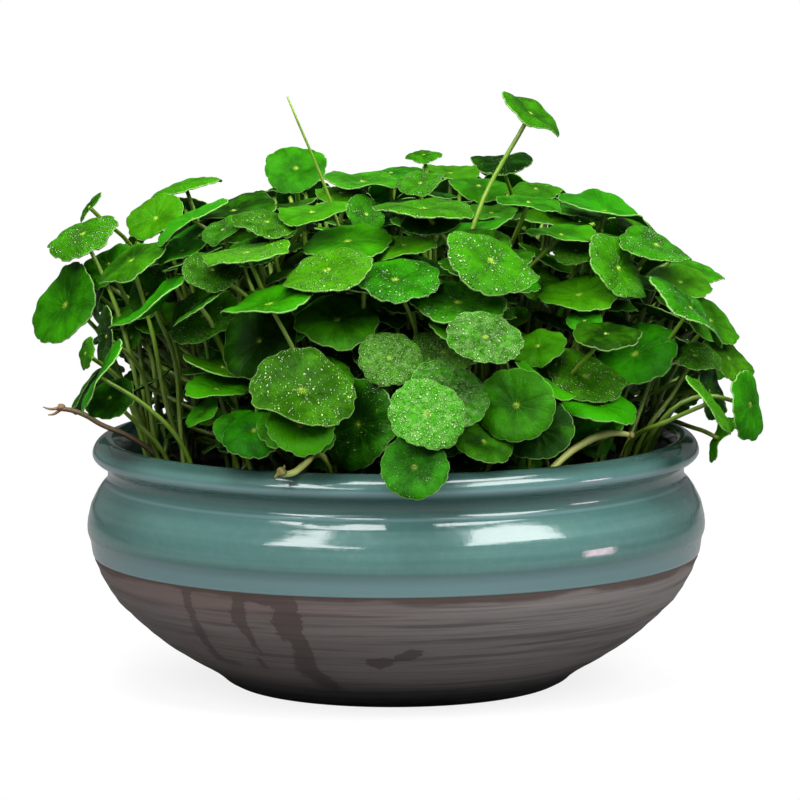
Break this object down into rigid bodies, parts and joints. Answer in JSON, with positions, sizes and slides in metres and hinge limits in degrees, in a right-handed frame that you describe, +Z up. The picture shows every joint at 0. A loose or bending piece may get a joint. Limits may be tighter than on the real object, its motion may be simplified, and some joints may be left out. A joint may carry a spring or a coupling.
{
  "type": "potted water pennywort",
  "caption": "Round-leaved water pennywort in a cushion of stalked leaves on creeping runners, in a wide low stoneware bowl glazed above and bare clay below.",
  "frame": {"origin": "middle of the bowl's flat base, on the surface that it stands on", "axes": "+Z up, -Y toward the side that the picture shows, +X to its right"},
  "size_m": [0.2911, 0.2612, 0.2389],
  "materials": {
    "stoneware": "glossy grey-green glaze above the turn of the belly, bare grey-brown clay with throwing lines and damp streaks below it",
    "soil": "dark moist potting soil, coarse and matt",
    "leaf_and_stalk": "glossy bright green leaves with fine pale veins and margins, on smooth pale green stalks",
    "cut_runner": "smooth pale yellow-green, with brown cut ends"
  },
  "bodies": {
    "root": {"bowl": "stoneware", "soil": "soil", "loose_runner_front": "cut_runner", "loose_runner_right": "cut_runner", "loose_runner_left": "cut_runner", "runner_01": "leaf_and_stalk", "runner_02": "leaf_and_stalk", "runner_03": "leaf_and_stalk", "runner_04": "leaf_and_stalk", "runner_05": "leaf_and_stalk", "runner_06": "leaf_and_stalk", "runner_07": "leaf_and_stalk", "runner_08": "leaf_and_stalk", "runner_09": "leaf_and_stalk", "runner_10": "leaf_and_stalk", "runner_11": "leaf_and_stalk", "runner_12": "leaf_and_stalk", "runner_13": "leaf_and_stalk", "runner_14": "leaf_and_stalk", "runner_15": "leaf_and_stalk", "runner_16": "leaf_and_stalk", "runner_17": "leaf_and_stalk", "runner_18": "leaf_and_stalk", "runner_19": "leaf_and_stalk", "runner_20": "leaf_and_stalk", "runner_21": "leaf_and_stalk", "runner_22": "leaf_and_stalk", "runner_23": "leaf_and_stalk", "runner_24": "leaf_and_stalk", "runner_25": "leaf_and_stalk", "runner_26": "leaf_and_stalk", "runner_27": "leaf_and_stalk", "runner_28": "leaf_and_stalk", "runner_29": "leaf_and_stalk", "runner_30": "leaf_and_stalk", "runner_31": "leaf_and_stalk", "runner_32": "leaf_and_stalk", "runner_33": "leaf_and_stalk", "runner_34": "leaf_and_stalk", "runner_35": "leaf_and_stalk", "runner_36": "leaf_and_stalk", "runner_37": "leaf_and_stalk", "runner_38": "leaf_and_stalk", "runner_39": "leaf_and_stalk", "runner_40": "leaf_and_stalk", "runner_41": "leaf_and_stalk", "runner_42": "leaf_and_stalk", "runner_43": "leaf_and_stalk", "runner_44": "leaf_and_stalk", "runner_45": "leaf_and_stalk", "runner_46": "leaf_and_stalk", "runner_47": "leaf_and_stalk"}
  },
  "joints": []
}
